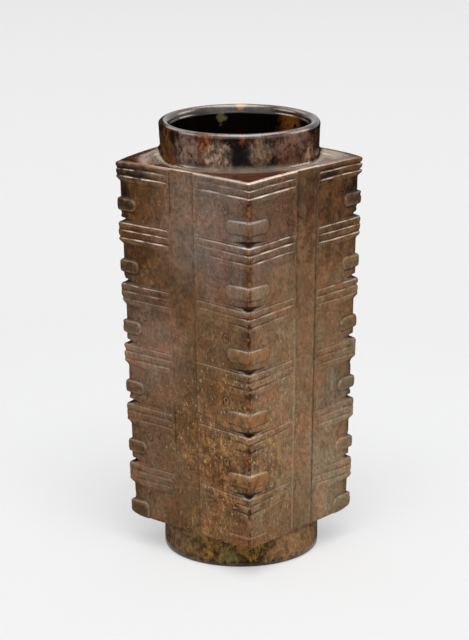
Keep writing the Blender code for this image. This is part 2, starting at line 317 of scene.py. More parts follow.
# Profile of the turned form as radius and height: over the rim, down the bore and up the foot
COLLAR_STRAIGHT = 13.1
BORE_TAPER, BEVEL_SHARE, BEVEL_END = 1.4, 0.25, 0.012
WAIST_RISE, WAIST_HALF, WAIST_FOOT = 0.8, 1.0, 3.0
SOLE_INNER, SOLE_OUTER = 1.1, 1.2
collar_base = COLLAR_RADIUS - COLLAR_FLARE
rim_inner = COLLAR_RADIUS - COLLAR_WALL
foot_inner = FOOT_RADIUS - FOOT_WALL
waist = foot_inner - BORE_TAPER
middle = RIM_TOP / 2.0
fillet = arc(collar_base + COLLAR_FILLET, COLUMN_TOP + COLLAR_FILLET, COLLAR_FILLET, 270.0, 180.0, 6)
wall = [
    (collar_base + COLLAR_FLARE * s, COLUMN_TOP + COLLAR_FILLET + COLLAR_STRAIGHT * s)
    for s in (0.12, 0.26, 0.42, 0.58, 0.74, 0.9)
]
rim = arc(COLLAR_RADIUS - RIM_OUTER, RIM_TOP - RIM_OUTER, RIM_OUTER, 0.0, 90.0, 8)
rim += arc(rim_inner + RIM_INNER, RIM_TOP - RIM_INNER, RIM_INNER, 90.0, 180.0, 8)
drill = []
drill_length = RIM_TOP - (RIM_INNER + WAIST_FOOT) - middle
for s in (0.004, 0.008, 0.012, 0.017, 0.03, 0.15, 0.4, 0.7, 1.0):
    narrowing = BEVEL_SHARE * min(s / BEVEL_END, 1.0) + (1.0 - BEVEL_SHARE) * s
    drill.append((rim_inner - (rim_inner - waist) * narrowing, RIM_TOP - RIM_INNER - drill_length * s))
ridge = [(waist - WAIST_RISE, middle + WAIST_HALF), (waist - WAIST_RISE, middle - WAIST_HALF)]
ridge.append((waist, middle - WAIST_FOOT))
lower_length = middle - (WAIST_FOOT + SOLE_INNER)
lower = [
    (waist + (foot_inner - waist) * s, middle - WAIST_FOOT - lower_length * s) for s in (0.25, 0.5, 0.75, 0.92)
]
sole = arc(foot_inner + SOLE_INNER, SOLE_INNER, SOLE_INNER, 180.0, 270.0, 5)
sole += arc(FOOT_RADIUS - SOLE_OUTER, SOLE_OUTER, SOLE_OUTER, 270.0, 360.0, 5)
foot = [(FOOT_RADIUS, SOLE_OUTER + (FOOT_HEIGHT - 1.7) * s) for s in (0.2, 0.4, 0.6, 0.8)]
foot.append((FOOT_RADIUS - 0.3, FOOT_HEIGHT))

# The shoulder rises to the collar beside every corner but the front one
corner_room = np.hypot(rings[-1][0][:, 0], rings[-1][0][:, 1]) - collar_base - COLLAR_FILLET
to_front, to_left = CIRCLE @ FRONT, CIRCLE @ LEFT
rise = SHOULDER_RISE * (1.0 - np.maximum(to_front, 0.0) ** 2 - 0.6 * np.maximum(-to_front, 0.0) ** 2)
rise = (rise + LEFT_RISE * np.maximum(to_left, 0.0) ** 4) * smooth(1.0, 14.0, corner_room)
rise_end = RIM_TOP - 4.0
collar_start = turned_ring(*fillet[0], rough=COLLAR_ROUGH, lift=rise)
foot_end = turned_ring(*foot[-1])
rings += between(rings[-1], collar_start, (0.04, 0.2, 0.4, 0.6, 0.8))
rings += [turned_ring(*spot, rough=COLLAR_ROUGH, lift=rise) for spot in fillet]
for radius, height in wall[:-1]:
    left_over = rise * (rise_end - height) / (rise_end - COLUMN_TOP)
    rings.append(turned_ring(radius, height, rough=COLLAR_ROUGH, lift=left_over))
rings.append(turned_ring(*wall[-1], rough=COLLAR_ROUGH))
rings += [turned_ring(*spot, rough=RIM_ROUGH) for spot in rim]
rings += [turned_ring(*spot, rough=BORE_ROUGH) for spot in drill + ridge + lower + sole + foot]
rings += between(foot_end, rings[0], (0.35, 0.7))

count = len(CIRCLE)
points = np.concatenate([ring[0] for ring in rings])
index = np.arange(len(rings) * count).reshape(len(rings), count)
ahead = np.roll(index, -1, axis=1)
above = np.roll(index, -1, axis=0)
corner_ahead = np.roll(ahead, -1, axis=0)
quads = np.stack([index, ahead, corner_ahead, above], 2).reshape(-1, 4)

# How far each carved point lies below or above the stone around it
heights = np.array([height for height, ease in base_edge + column + top_edge])
cuts = np.stack([ring[1] for ring in rings[:column_count]])
stretch = np.hypot(*(np.roll(level, -1, axis=0) - level)[:, :2].T)
along_ring = np.cumsum(stretch)
apart = np.abs(along_ring[:, None] - along_ring[None, :])
apart = np.minimum(apart, along_ring[-1] - apart)


def depth_around(up_size, along_size):
    """Mean depth of the cuts round each carved point."""
    weight_up = np.exp(-((heights[:, None] - heights[None, :]) / up_size) ** 2 / 2.0) * np.gradient(heights)[None, :]
    weight_along = np.exp(-((apart / along_size) ** 2) / 2.0) * stretch[None, :]
    weight_up /= weight_up.sum(1, keepdims=True)
    weight_along /= weight_along.sum(1, keepdims=True)
    return weight_up @ cuts @ weight_along.T


around_cut = depth_around(1.4, 1.1)
cavity = np.zeros((len(rings), count))
edge = np.zeros((len(rings), count))
hollow = np.zeros((len(rings), count))
cavity[:column_count] = np.clip((cuts - around_cut) / 0.5, 0.0, 1.0)
edge[:column_count] = np.clip((around_cut - cuts) / 0.35, 0.0, 1.0)
hollow[:column_count] = np.clip((depth_around(0.6, 0.6) - depth_around(7.0, 6.0)) / 0.6, 0.0, 1.0)
# The last rings of the top edge get 2, which the material turns into a painted highlight
edge[column_count - 3:column_count] = 2.0

marks = np.concatenate([ring[3] for ring in rings])
mesh = bpy.data.meshes.new("cong_stone")
mesh.from_pydata((points * MM).tolist(), [], quads.tolist())
for name, kind, values in (
    ("cavity", "FLOAT", cavity.ravel()),
    ("edge", "FLOAT", edge.ravel()),
    ("hollow", "FLOAT", hollow.ravel()),
    ("corner", "FLOAT", np.concatenate([ring[2] for ring in rings])),
    ("nose", "FLOAT", marks[:, 0]),
    ("outline", "FLOAT", marks[:, 1]),
    ("dark_line", "FLOAT", marks[:, 2]),
    ("pale_line", "FLOAT", marks[:, 3]),
    ("border", "FLOAT", marks[:, 4]),
    ("eye", "FLOAT_VECTOR", np.concatenate([ring[4] for ring in rings]).ravel()),
):
    layer = mesh.attributes.new(name, kind, "POINT")
    layer.data.foreach_set("vector" if kind == "FLOAT_VECTOR" else "value", values.astype(np.float32))
mesh.shade_smooth()
mesh.validate()
mesh.update()
cong = bpy.data.objects.new("cong_stone", mesh)
bpy.context.collection.objects.link(cong)


class Graph:
    """Short ways to add shader nodes to a material."""

    def __init__(self, name):
        self.material = bpy.data.materials.new(name)
        self.material.use_nodes = True
        self.tree = self.material.node_tree
        self.shader = self.tree.nodes["Principled BSDF"]

    def feed(self, socket, value):
        if isinstance(value, bpy.types.NodeSocket):
            self.tree.links.new(value, socket)
        elif isinstance(value, (tuple, list)) and socket.type == "RGBA" and len(value) == 3:
            socket.default_value = (*value, 1.0)
        else:
            socket.default_value = value

    def node(self, kind, inputs=(), **settings):
        node = self.tree.nodes.new(kind)
        for key, value in settings.items():
            setattr(node, key, value)
        for key, value in dict(inputs).items():
            self.feed(node.inputs[key], value)
        return node

    def math(self, operation, first, second=0.0):
        return self.node("ShaderNodeMath", {0: first, 1: second}, operation=operation).outputs[0]

    def vector(self, operation, first, second=(0.0, 0.0, 0.0), output="Vector"):
        return self.node("ShaderNodeVectorMath", {0: first, 1: second}, operation=operation).outputs[output]

    def noise(self, place, scale, detail=3.0, rough=0.55, twist=0.0, output="Fac"):
        inputs = {"Vector": place, "Scale": scale, "Detail": detail, "Roughness": rough, "Distortion": twist}
        return self.node("ShaderNodeTexNoise", inputs).outputs[output]

    def span(self, value, low, high, start=0.0, end=1.0):
        inputs = {"Value": value, "From Min": low, "From Max": high, "To Min": start, "To Max": end}
        return self.node("ShaderNodeMapRange", inputs, interpolation_type="SMOOTHSTEP").outputs["Result"]

    def mix(self, share, first, second, blend="MIX"):
        node = self.node("ShaderNodeMix", data_type="RGBA", blend_type=blend)
        self.feed(node.inputs[0], share)
        self.feed(node.inputs[6], first)
        self.feed(node.inputs[7], second)
        return node.outputs[2]

    def blend(self, share, first, second):
        node = self.node("ShaderNodeMix", data_type="FLOAT")
        self.feed(node.inputs[0], share)
        self.feed(node.inputs[2], first)
        self.feed(node.inputs[3], second)
        return node.outputs[0]

    def read(self, name, output="Fac"):
        return self.node("ShaderNodeAttribute", attribute_name=name).outputs[output]


BROAD = 9.0  # radius in millimetres above which a spot has a loose edge


def stone_material():
    """Brown nephrite: fibrous and mottled, stained at the corners, nearly black and glossy at the collar; some shade,
    highlights and reflections are painted into its colour.
    """
    g = Graph("brown_stone_look")
    place = g.vector("MULTIPLY", g.node("ShaderNodeTexCoord").outputs["Object"], (1000.0, 1000.0, 1000.0))
    parts = g.node("ShaderNodeSeparateXYZ", {0: place})
    along_x, along_y, up = parts.outputs["X"], parts.outputs["Y"], parts.outputs["Z"]

    def times(first, second):
        return g.math("MULTIPLY", first, second)

    def highest(first, second):
        return g.math("MAXIMUM", first, second)

    def long_grain(squeeze):
        """Places squeezed along the tube, so that a pattern on them runs up and down."""
        return g.vector("MULTIPLY", place, (1.0, 1.0, squeeze))

    def shifted(scale, rough, reach):
        """Places moved about by noise, so that the edge of a spot is ragged."""
        drift = g.vector("SUBTRACT", g.noise(place, scale, 3.0, rough, output="Color"), (0.5, 0.5, 0.5))
        return g.vector("ADD", place, g.vector("MULTIPLY", drift, (reach, reach, reach)))

    warped, ruffled = shifted(0.11, 0.6, 16.0), shifted(0.3, 0.65, 7.0)
    flat = long_grain(0.0)

    def spot(centre, radius, soft=0.55):
        distance = g.vector("DISTANCE", warped if radius > BROAD else ruffled, centre, "Value")
        return g.span(distance, radius * (1.0 + soft), radius * (1.0 - soft))

    def near(value, centre, far, close):
        """1 where a value is close to a centre, 0 where it is far from it."""
        return g.span(g.math("ABSOLUTE", g.math("SUBTRACT", value, centre)), far, close)

    def dyed(base, share, value, low, high, darker, lighter):
        """A colour multiplied by tints that follow a pattern."""
        return g.mix(share, base, g.mix(g.span(value, low, high), darker, lighter), "MULTIPLY")

    def daubed(base, daubs, soft=0.55):
        """A colour with spots on it: the centre, radius, share and tone of each."""
        for centre, radius, share, tone in daubs:
            base = g.mix(times(spot(centre, radius, soft), share), base, tone)
        return base

    cloud = g.noise(place, 0.045, 5.0, 0.6)
    fibre = g.noise(long_grain(0.2), 0.85, 4.0, 0.6)
    fleck = g.noise(long_grain(0.8), 0.45, 4.0, 0.68, 0.3)
    patchy = g.noise(place, 0.16, 4.0, 0.65)
    # The edge attribute gives both the real wear of raised edges and a painted highlight along the top edge
    cavity, worn, corner, hollow = (g.read(name) for name in ("cavity", "edge", "corner", "hollow"))

    # Ground colour of each part of the column
    colour = g.mix(g.span(cloud, 0.36, 0.66), (0.1, 0.044, 0.012), (0.152, 0.076, 0.029))
    east = g.span(along_x, 31.0, 35.5)
    colour = g.mix(times(east, 0.75), colour, (0.215, 0.122, 0.054))
    # The lower right face lighter and greyer: the stone's tone with a painted reflection of the pale floor
    painted_floor_reflection_east = times(times(east, g.span(along_y, 8.0, 20.0)), times(g.span(up, 110.0, 60.0), 0.7))
    colour = g.mix(painted_floor_reflection_east, colour, (0.195, 0.148, 0.088))
    colour = daubed(colour, (
        # The first two patches, high on the left face near the front corner, are lighter and greyer: the stone's tone
        # with a painted reflection on it
        ((20.0, -36.0, 152.0), 27.0, 0.85, (0.17, 0.112, 0.083)),
        ((0.0, -36.0, 150.0), 16.0, 0.7, (0.21, 0.128, 0.08)),
        ((-27.0, -36.0, 156.0), 18.0, 0.85, (0.11, 0.047, 0.014)),
        ((-30.0, -36.0, 122.0), 13.0, 0.5, (0.1, 0.046, 0.014)),
        ((37.0, 18.0, 158.0), 25.0, 0.9, (0.095, 0.04, 0.014)),
        ((37.0, -16.0, 156.0), 18.0, 0.75, (0.115, 0.056, 0.026)),
        ((37.0, 4.0, 128.0), 18.0, 0.5, (0.15, 0.076, 0.034)),
    ))
    # Lighter and less saturated lower down: a painted reflection of the pale floor
    colour = dyed(colour, 1.0, up, 105.0, 160.0, (1.2, 1.29, 1.54), (1.05, 1.1, 1.18))
    colour = daubed(colour, (
        ((-30.0, -35.0, 92.0), 26.0, 0.85, (0.24, 0.15, 0.1)),
        ((-30.0, -35.0, 40.0), 24.0, 0.5, (0.19, 0.116, 0.07)),
        ((35.0, 26.0, 34.0), 24.0, 0.9, (0.31, 0.21, 0.127)),
    ))
    ochre_zone = 0.04
    for centre, radius, share in (
        ((31.0, -33.0, 52.0), 25.0, 0.95),
        ((4.0, -35.0, 50.0), 13.0, 0.7),
        ((18.0, -30.0, 6.0), 22.0, 0.9),
        ((-18.0, -36.0, 123.0), 6.0, 0.9),
        ((24.0, -36.0, 81.0), 6.0, 0.8),
    ):
        ochre_zone = highest(ochre_zone, times(spot(centre, radius), share))
    ochre = times(g.span(fleck, 0.44, 0.64), ochre_zone)
    colour = g.mix(times(ochre, 0.8), colour, (0.36, 0.19, 0.05))

    # Mottling, flecks and fibres
    mottle = g.noise(long_grain(0.8), 0.17, 5.0, 0.7, 0.4)
    wild = 0.45
    for centre, radius in (((-30.0, -34.0, 155.0), 24.0), ((37.0, 10.0, 152.0), 30.0), ((30.0, -34.0, 40.0), 26.0)):
        wild = highest(wild, spot(centre, radius))
    hue = g.noise(place, 0.1, 3.0, 0.6)
    grit = g.noise(long_grain(0.75), 0.8, 4.0, 0.74)
    sand = g.noise(place, 1.9, 2.0, 0.6)
    colour = dyed(colour, wild, mottle, 0.36, 0.64, (0.6, 0.53, 0.47), (1.28, 1.28, 1.28))
    colour = dyed(colour, 1.0, hue, 0.34, 0.66, (1.1, 0.95, 0.86), (0.92, 1.02, 1.04))
    colour = dyed(colour, 1.0, grit, 0.34, 0.66, (0.72, 0.69, 0.66), (1.28, 1.29, 1.3))
    colour = dyed(colour, 1.0, sand, 0.36, 0.64, (0.92, 0.91, 0.9), (1.08, 1.08, 1.09))
    colour = dyed(colour, 1.0, fibre, 0.3, 0.7, (0.965, 0.96, 0.955), (1.035, 1.035, 1.035))
    # Darker where the surface lies below the stone around it
    colour = g.mix(times(hollow, 0.6), colour, (0.42, 0.33, 0.27), "MULTIPLY")
    dark_fleck = g.span(g.noise(place, 0.24, 5.0, 0.76, 0.3), 0.57, 0.67)
    colour = g.mix(times(times(dark_fleck, wild), 0.85), colour, (0.016, 0.006, 0.002))
    # Near-black spots in the deep top grooves of the side corners: dirt and painted shade
    for centre, radius, share in (
        ((-33.0, -36.9, 166.6), 3.6, 0.95),
        ((-27.4, -36.9, 166.1), 3.4, 0.95),
        ((-21.2, -36.9, 165.6), 3.0, 0.85),
        ((-33.0, -36.7, 156.5), 3.6, 0.8),
        ((36.9, 14.7, 165.4), 3.6, 0.9),
        ((36.9, 10.0, 165.0), 2.6, 0.8),
        ((36.7, 31.4, 156.0), 4.0, 0.85),
    ):
        colour = g.mix(times(spot(centre, radius), share), colour, (0.012, 0.005, 0.002))
    pale_zone = g.math("ADD", times(spot((30.0, -30.0, 50.0), 46.0), 0.8), 0.2)
    pale_fleck = g.span(g.noise(long_grain(0.45), 1.2, 2.0, 0.6), 0.63, 0.68)
    scratch = g.span(g.noise(long_grain(0.1), 0.9, 2.0, 0.5), 0.71, 0.77)
    colour = g.mix(times(highest(pale_fleck, scratch), pale_zone), colour, (0.43, 0.31, 0.17))

    # Russet line and dark stains on the front corner, painted shade beside it, and a cast over two patches
    from_front = g.vector("DISTANCE", flat, (35.0, -35.0, 0.0), "Value")
    front = g.span(from_front, 12.0, 5.0)
    near_front = times(g.span(from_front, 17.0, 8.0), g.span(up, COLUMN_TOP - 12.0, COLUMN_TOP - 22.0))
    # Painted shade on the left face beside the front corner, stronger higher up
    left_shade_zone = times(g.span(along_y, -33.2, -34.6), g.span(up, 60.0, 100.0, 0.1, 0.62))
    painted_shade_left = times(times(g.span(corner, 6.5, 0.4), front), left_shade_zone)
    colour = g.mix(painted_shade_left, colour, (0.42, 0.3, 0.24), "MULTIPLY")
    russet = times(times(g.span(corner, 1.2, 0.2), front), g.span(patchy, 0.3, 0.5))
    russet_tone = g.mix(g.span(grit, 0.43, 0.62), (0.04, 0.011, 0.002), (0.31, 0.105, 0.016))
    colour = g.mix(times(russet, 0.92), colour, russet_tone)
    for centre, radius, share in (
        ((35.3, -35.3, 80.0), 2.8, 0.8),
        ((34.8, -34.8, 56.0), 1.3, 0.9),
        ((34.4, -34.4, 35.6), 2.6, 0.8),
        ((34.3, -34.3, 29.2), 1.3, 0.9),
        ((34.1, -34.1, 18.4), 1.4, 0.9),
    ):
        colour = g.mix(times(spot(centre, radius), share), colour, (0.022, 0.007, 0.002))
    stain = times(times(near_front, g.span(g.read("dark_line"), 0.8, 0.0)), g.span(patchy, 0.36, 0.56, 0.35, 0.9))
    colour = g.mix(stain, colour, (0.028, 0.01, 0.003))
    for centre, radius, cast in (
        ((-21.0, -36.5, 121.0), 17.0, (0.7, 0.67, 0.66)),
        ((36.5, -22.0, 62.0), 34.0, (1.15, 1.18, 1.27)),
    ):
        colour = g.mix(spot(centre, radius, 0.5), colour, g.mix(1.0, colour, cast, "MULTIPLY"))

    # Nose bars and the lines round them and beside the channels; beside the right face's channel, dirt and painted
    # shade on the far line and a painted highlight on the near one
    bar = g.read("nose")
    gold = times(bar, spot((31.0, -33.0, 62.0), 34.0))
    colour = g.mix(times(bar, 0.08), colour, (0.3, 0.2, 0.12))
    for centre, share in (((-36.0, -36.5, 151.4), 0.75), ((36.5, 36.5, 151.4), 0.6)):
        colour = g.mix(times(times(bar, spot(centre, 12.0)), share), colour, (0.042, 0.024, 0.013))
    colour = g.mix(times(times(gold, g.span(fleck, 0.42, 0.56)), 0.7), colour, (0.38, 0.2, 0.05))
    left_half, right_half = g.span(along_x, -10.0, -16.0), g.span(along_y, 10.0, 16.0)
    front_tint = g.mix(g.span(up, 75.0, 120.0), (0.86, 0.72, 0.64), (1.2, 1.2, 1.2))
    side_tint = g.mix(g.span(up, 140.0, 125.0), (1.0, 1.0, 1.0), (0.74, 0.76, 0.72))
    bar_tint = g.mix(left_half, g.mix(right_half, front_tint, side_tint), (0.55, 0.51, 0.47))
    colour = g.mix(bar, colour, g.mix(1.0, colour, bar_tint, "MULTIPLY"))
    border = g.read("border")
    far_side = times(east, g.span(along_y, 2.0, 4.0))
    broken = g.span(g.noise(place, 0.07, 3.0), 0.36, 0.62, 0.05, 0.7)
    # The far border line of the right face's channel: dirt and painted shade
    line = times(near(border, 0.15, 0.5, 0.1), g.blend(far_side, broken, 0.75))
    colour = g.mix(line, colour, (0.032, 0.016, 0.007))
    near_side = times(east, g.span(along_y, -2.0, -4.0))
    # A painted highlight along the near border of the right face's channel
    painted_border_highlight = times(times(near(border, 0.35, 0.85, 0.4), near_side), g.span(patchy, 0.34, 0.5, 0.5, 0.95))
    colour = g.mix(times(painted_border_highlight, g.span(up, 120.0, 80.0)), colour, (0.4, 0.3, 0.215))
    outline = g.read("outline")
    rim_line = near(outline, 0.42, 0.32, 0.1)
    colour = g.mix(times(rim_line, g.span(patchy, 0.4, 0.62, 0.04, 0.5)), colour, (0.025, 0.01, 0.003))
    bar_line = near(outline, -0.28, 0.3, 0.08)
    colour = g.mix(times(bar_line, g.span(patchy, 0.6, 0.4, 0.03, 0.4)), colour, (0.36, 0.25, 0.16))

    # Collar, rim and bore
    from_axis = g.vector("LENGTH", flat, output="Value")
    high = times(g.span(from_axis, 35.3, 34.3), g.span(up, COLUMN_TOP - 0.3, COLUMN_TOP + 0.3))
    vein = g.noise(long_grain(0.7), 0.24, 5.0, 0.7, 0.6)
    dark = g.mix(g.span(vein, 0.46, 0.64), (0.006, 0.0022, 0.001), (0.12, 0.034, 0.008))
    dark = daubed(dark, (
        ((33.4, -4.3, 179.5), 11.0, 0.85, (0.14, 0.075, 0.052)),
        ((33.0, -6.0, 172.5), 7.0, 0.7, (0.075, 0.026, 0.009)),
        ((33.5, 5.3, 174.6), 4.0, 0.85, (0.26, 0.155, 0.09)),
        ((-14.0, -30.5, 175.0), 7.0, 0.8, (0.12, 0.05, 0.014)),
        ((8.0, -32.8, 176.6), 4.0, 0.9, (0.09, 0.02, 0.005)),
    ), 0.35)
    left_patch, right_patch = spot((14.5, -30.5, 176.3), 6.2, 0.2), spot((27.4, -19.7, 178.0), 5.2, 0.3)
    rough_patch = highest(left_patch, times(right_patch, 0.6))
    grain = g.noise(long_grain(0.4), 0.7, 4.0, 0.7, 0.6)
    tan = g.mix(g.span(grain, 0.36, 0.62), (0.05, 0.028, 0.011), (0.3, 0.2, 0.12))
    dark = g.mix(times(rough_patch, 0.95), dark, tan)
    dark = g.mix(times(spot((8.6, -32.6, 181.5), 3.2, 0.35), 0.9), dark, (0.19, 0.056, 0.01))
    dark = g.mix(times(spot((22.2, -25.5, 177.0), 4.8, 0.35), 0.97), dark, (0.003, 0.001, 0.0006))
    # A pale pinkish-grey patch on the collar's front left: a painted reflection
    dark = g.mix(times(spot((0.5, -33.7, 177.5), 6.4, 0.5), 0.85), dark, (0.185, 0.112, 0.083))
    crackle = g.noise(long_grain(0.8), 0.34, 6.0, 0.76, 0.5)
    dark = dyed(dark, 1.0, crackle, 0.36, 0.6, (0.24, 0.17, 0.12), (1.5, 1.52, 1.52))
    # The inner lip of the rim lighter, more so at the back left: a painted reflection
    painted_lip_reflection = times(g.span(up, RIM_TOP - 3.4, RIM_TOP - 1.6), g.span(from_axis, 32.6, 31.0))
    dark = g.mix(times(painted_lip_reflection, g.span(vein, 0.36, 0.6, 0.25, 0.8)), dark, (0.08, 0.052, 0.038))
    dark = g.mix(times(times(painted_lip_reflection, spot((-26.0, -12.0, 185.0), 13.0)), 0.7), dark, (0.11, 0.07, 0.05))
    dark = g.mix(times(spot((-20.0, 24.0, 186.0), 2.2), 0.9), dark, (0.4, 0.19, 0.08))
    colour = g.mix(high, colour, dark)
    bore = g.span(from_axis, 30.9, 29.8)
    inner = g.mix(times(spot((-23.6, 15.8, 181.6), 2.0), 0.9), (0.003, 0.0018, 0.0014), (0.15, 0.13, 0.06))
    rust = times(spot((4.5, 29.0, 179.5), 6.0), g.span(fleck, 0.34, 0.5))
    inner = g.mix(times(rust, 0.95), inner, (0.2, 0.07, 0.016))
    depths = g.mix(g.span(crackle, 0.36, 0.62), (0.03, 0.014, 0.005), (0.11, 0.06, 0.028))
    inner = g.mix(g.span(up, RIM_TOP - 17.0, RIM_TOP - 40.0), inner, depths)
    lip = g.span(up, RIM_TOP - 3.2, RIM_TOP - 2.0)
    bore = times(bore, g.math("SUBTRACT", 1.0, times(lip, 0.9)))
    colour = g.mix(bore, colour, inner)

    # Shoulder and foot
    shoulder = times(g.span(up, COLUMN_TOP - 1.3, COLUMN_TOP - 0.7), g.math("SUBTRACT", 1.0, high))
    warm = g.mix(g.span(mottle, 0.4, 0.62), (0.035, 0.007, 0.001), (0.15, 0.036, 0.004))
    front_shoulder = spot((28.0, -30.0, 170.0), 20.0)
    warm = g.mix(times(g.span(fleck, 0.53, 0.68), g.blend(front_shoulder, 0.85, 0.3)), warm, (0.32, 0.19, 0.05))
    beside_collar = times(g.span(from_axis, 36.3, 35.3), g.span(fleck, 0.42, 0.62, 0.1, 0.75))
    warm = g.mix(beside_collar, warm, (0.27, 0.175, 0.09))
    # A pale spot on the right back of the shoulder: a painted reflection
    warm = g.mix(times(spot((29.5, 23.5, 172.3), 6.0, 0.6), 0.9), warm, (0.4, 0.3, 0.2))
    warm = g.mix(times(spot((-33.0, -36.0, 169.6), 6.0, 0.6), 0.8), warm, (0.03, 0.007, 0.002))
    reddened = times(front_shoulder, g.span(from_axis, 35.6, 37.0, 0.35, 0.8))
    warm = g.mix(reddened, warm, g.mix(1.0, warm, (0.85, 0.4, 0.2), "MULTIPLY"))
    colour = g.mix(times(shoulder, 0.97), colour, warm)
    above_shoulder = g.span(up, COLUMN_TOP - 0.5, COLUMN_TOP + 0.1)
    # A painted highlight on the fillet at the collar's foot: tan, but dark brown at the front
    painted_fillet_highlight = times(times(g.span(from_axis, 33.95, 34.35), g.span(from_axis, 35.7, 34.9)), above_shoulder)
    collar_tone = g.mix(front_shoulder, (0.3, 0.215, 0.135), (0.105, 0.064, 0.032))
    colour = g.mix(times(painted_fillet_highlight, g.span(patchy, 0.36, 0.56, 0.25, 0.9)), colour, collar_tone)
    foot_line = times(times(front_shoulder, high), g.span(up, COLUMN_TOP + 2.6, COLUMN_TOP + 1.2))
    colour = g.mix(times(foot_line, g.span(patchy, 0.36, 0.56, 0.3, 0.8)), colour, (0.105, 0.064, 0.032))
    low = g.span(up, FOOT_HEIGHT - 0.3, FOOT_HEIGHT - 1.5)
    flaw = g.noise(long_grain(0.8), 0.3, 4.0, 0.7, 0.5)
    golden = g.mix(g.span(flaw, 0.42, 0.58), (0.025, 0.009, 0.001), (0.24, 0.13, 0.012))
    brown = g.mix(g.span(flaw, 0.36, 0.62), (0.085, 0.045, 0.018), (0.19, 0.115, 0.055))
    footing = g.mix(spot((20.0, -27.0, 6.0), 17.0), brown, golden)
    footing = g.mix(times(spot((17.2, -28.5, 3.8), 4.5), 0.8), footing, (0.13, 0.11, 0.035))
    right_foot = times(spot((33.3, 0.0, 7.0), 15.0), g.span(flaw, 0.38, 0.56, 0.35, 1.0))
    footing = g.mix(right_foot, footing, (0.29, 0.155, 0.068))
    footing = dyed(footing, 1.0, grit, 0.34, 0.66, (0.68, 0.62, 0.54), (1.28, 1.28, 1.28))
    colour = g.mix(times(low, 0.9), colour, footing)
    # Nearly black along the bottom of the foot, with a ragged edge
    ragged = g.math("ADD", up, times(g.math("SUBTRACT", fleck, 0.5), 8.0))
    colour = g.mix(times(times(g.span(ragged, 3.4, 0.8), low), 0.9), colour, (0.008, 0.004, 0.001))

    # Dirt and painted shade in the cuts, paler wear and painted highlights on the raised edges
    dirt_and_shade = highest(g.span(cavity, 0.2, 0.85), g.span(g.read("dark_line"), 0.4, 0.14))
    crisp = 0.0
    for centre, radius in (((37.0, -20.0, 154.0), 27.0), ((37.0, 18.0, 146.0), 30.0), ((-27.0, -37.0, 146.0), 30.0)):
        crisp = highest(crisp, spot(centre, radius, 0.35))
    dirt_and_shade = times(dirt_and_shade, highest(g.span(patchy, 0.36, 0.6, 0.25, 1.0), times(crisp, 0.85)))
    dirt_and_shade = times(dirt_and_shade, g.blend(crisp, 0.62, 1.0))
    colour = g.mix(times(dirt_and_shade, 0.95), colour, (0.01, 0.004, 0.0015))
    wear = times(g.span(worn, 0.12, 0.7), g.span(g.noise(place, 0.45, 4.0, 0.6), 0.4, 0.62))
    colour = g.mix(times(wear, 0.35), colour, (0.3, 0.19, 0.115))
    # A painted highlight on the up-facing ledge below each groove, strong in the crisp zones
    painted_ledge_highlight = times(g.span(g.read("pale_line"), 0.36, 0.1), g.span(g.noise(place, 0.2, 4.0, 0.65), 0.36, 0.58))
    colour = g.mix(times(painted_ledge_highlight, g.blend(crisp, 0.14, 1.0)), colour, (0.62, 0.47, 0.34))
    # A painted highlight along the top edge, strongest near the front corner and on the right face
    painted_top_highlight = times(g.span(worn, 1.2, 1.8), g.span(patchy, 0.3, 0.46, 0.5, 1.0))
    top_highlight_strength = g.blend(g.span(along_x, 34.0, 36.0), 0.45, 0.95)
    top_highlight_strength = g.blend(spot((37.0, -37.0, 170.0), 44.0, 0.3), 0.2, top_highlight_strength)
    colour = g.mix(times(painted_top_highlight, top_highlight_strength), colour, (0.7, 0.55, 0.42))
    # Near black at the bottoms of the sharpest cuts and in the notch wedges at the corners: dirt and painted shade
    cut_dirt_and_shade = g.span(g.read("dark_line"), 0.05, -0.4)
    colour = g.mix(times(cut_dirt_and_shade, 0.92), colour, (0.012, 0.004, 0.001))

    # Incised eyes, nearly worn away
    ring = g.vector("LENGTH", g.read("eye", "Vector"), output="Value")
    outer, pupil = near(ring, 1.75, 0.34, 0.1), near(ring, 0.7, 0.3, 0.1)
    clear = g.span(g.noise(place, 0.09), 0.44, 0.6, 0.12, 0.7)
    for centre, share in (((21.6, -35.2, 77.8), 1.0), ((23.8, -36.6, 157.3), 0.5), ((20.6, -34.7, 51.3), 1.0)):
        clear = highest(clear, times(spot(centre, 5.0), share))
    incised = times(highest(outer, pupil), clear)
    colour = g.mix(times(incised, 0.88), colour, (0.022, 0.009, 0.003))
    g.feed(g.shader.inputs["Base Color"], colour)

    # Polish: glossy on the collar and the shoulder, mirror-like at the mouth of the bore, dull in the dirty,
    # shade-painted cuts
    polish = g.span(g.noise(place, 0.12, 4.0, 0.6), 0.3, 0.7, 0.2, 0.32)
    polish = g.blend(times(shoulder, 0.95), polish, 0.1)
    front_fillet = times(front_shoulder, g.span(up, COLUMN_TOP + 3.0, COLUMN_TOP + 1.8))
    fillet_zone = times(g.span(from_axis, 36.6, 35.6), above_shoulder)
    fillet_zone = times(fillet_zone, highest(g.span(from_axis, 33.9, 34.4), front_fillet))
    polish = g.blend(low, polish, 0.26)
    polish = g.blend(high, polish, g.span(g.noise(place, 0.3), 0.3, 0.7, 0.1, 0.2))
    polish = g.blend(times(high, rough_patch), polish, 0.5)
    polish = g.blend(times(fillet_zone, 0.9), polish, g.blend(front_fillet, 0.25, 0.75))
    polish = g.blend(bore, polish, g.span(up, RIM_TOP - 34.0, RIM_TOP - 16.0, 0.6, 0.06))
    polish = g.blend(times(dirt_and_shade, 0.8), polish, 0.7)
    g.feed(g.shader.inputs["Roughness"], polish)
    g.shader.inputs["IOR"].default_value = 1.5
    g.shader.inputs["Specular IOR Level"].default_value = 0.5

